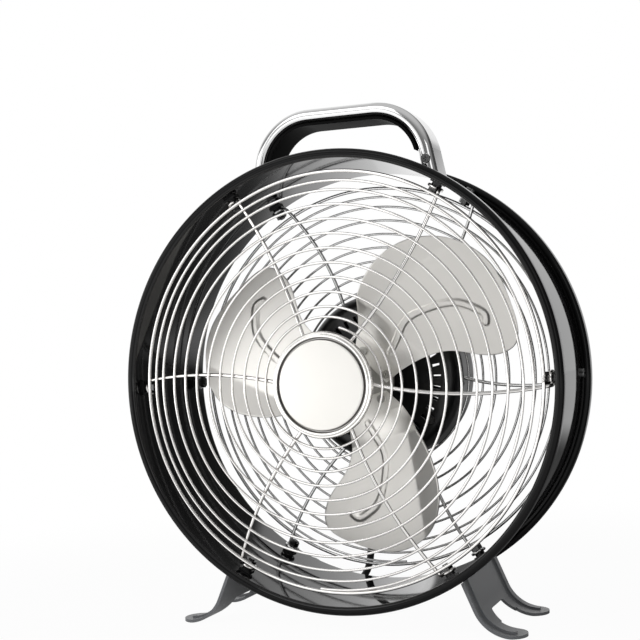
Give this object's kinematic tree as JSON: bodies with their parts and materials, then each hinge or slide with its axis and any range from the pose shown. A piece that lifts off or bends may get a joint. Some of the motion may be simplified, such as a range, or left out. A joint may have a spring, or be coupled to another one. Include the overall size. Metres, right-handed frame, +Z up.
{
  "type": "drum fan",
  "caption": "Table-top electric fan in a short round steel drum, with wire guards, a three-blade metal impeller, a carrying handle, splayed feet and a mains lead.",
  "frame": {"origin": "on the floor, under the middle of the fan's width and depth, without its mains lead", "axes": "+Z up, +Y from the outlet towards the motor, so air leaves towards -Y; +X to the right of someone who looks into the outlet"},
  "size_m": [0.341, 0.2827, 0.343],
  "materials": {
    "drum": "gloss black enamel on sheet steel",
    "guard": "bright nickel chrome plate on wire",
    "rear_guard": "dark grey plated wire",
    "clip": "black painted steel",
    "fastener": "black oxide screw",
    "cap": "satin anodised disc with a polished rim",
    "zinc": "bright zinc plate",
    "blade": "brushed aluminium",
    "motor_case": "satin black enamel",
    "shaft": "ground steel",
    "bush": "sintered bronze",
    "core": "stacked laminations",
    "winding": "enamelled copper wire",
    "washer": "natural nylon",
    "switch": "moulded phenolic",
    "knob": "gloss black moulding",
    "handle": "bright chrome plate on tube",
    "grip": "black moulded strip",
    "foot": "satin black enamel on pressed steel",
    "lead": "black flexible lead",
    "plug": "black moulded plug",
    "pin": "nickel plated brass"
  },
  "bodies": {
    "root": {"drum_shell": "drum", "front_guard_spiral": "guard", "front_guard_spokes": "guard", "rear_guard_spiral": "rear_guard", "rear_guard_spokes": "rear_guard", "front_guard_clips": "clip", "rear_guard_clips": "clip", "guard_screws": "fastener", "guard_nuts": "fastener", "front_cap": "cap", "cap_backplate": "zinc", "cap_screw": "zinc", "motor_front_shell": "motor_case", "motor_rear_cover": "motor_case", "casing_screws": "zinc", "stator_core": "core", "stator_windings": "winding", "front_bush": "bush", "rear_bush": "bush", "speed_switch": "switch", "switch_nut": "zinc", "handle": "handle", "handle_grip": "grip", "handle_brackets": "zinc", "handle_screws": "zinc", "right_foot": "foot", "left_foot": "foot", "strain_relief": "plug", "mains_cord": "lead", "cord_coil": "lead", "cord_tail": "lead", "plug_body": "plug", "plug_pins": "pin"},
    "impeller": {"motor_shaft": "shaft", "rotor_core": "core", "thrust_washers": "washer", "impeller_hub": "zinc", "blade_1": "blade", "blade_2": "blade", "blade_3": "blade", "blade_screws": "zinc", "hub_nut": "zinc"},
    "knob": {"speed_knob": "knob", "switch_spindle": "shaft"}
  },
  "joints": [
    {"name": "impeller_spin", "type": "hinge", "parent": "root", "child": "impeller", "pos_m": [0, -0.01872, 0.1605], "axis": [0, 1, 0], "continuous": true},
    {"name": "knob_turn", "type": "hinge", "parent": "root", "child": "knob", "pos_m": [0, 0.08128, 0.1245], "axis": [0, -1, 0], "range_deg": [0, 90]}
  ]
}
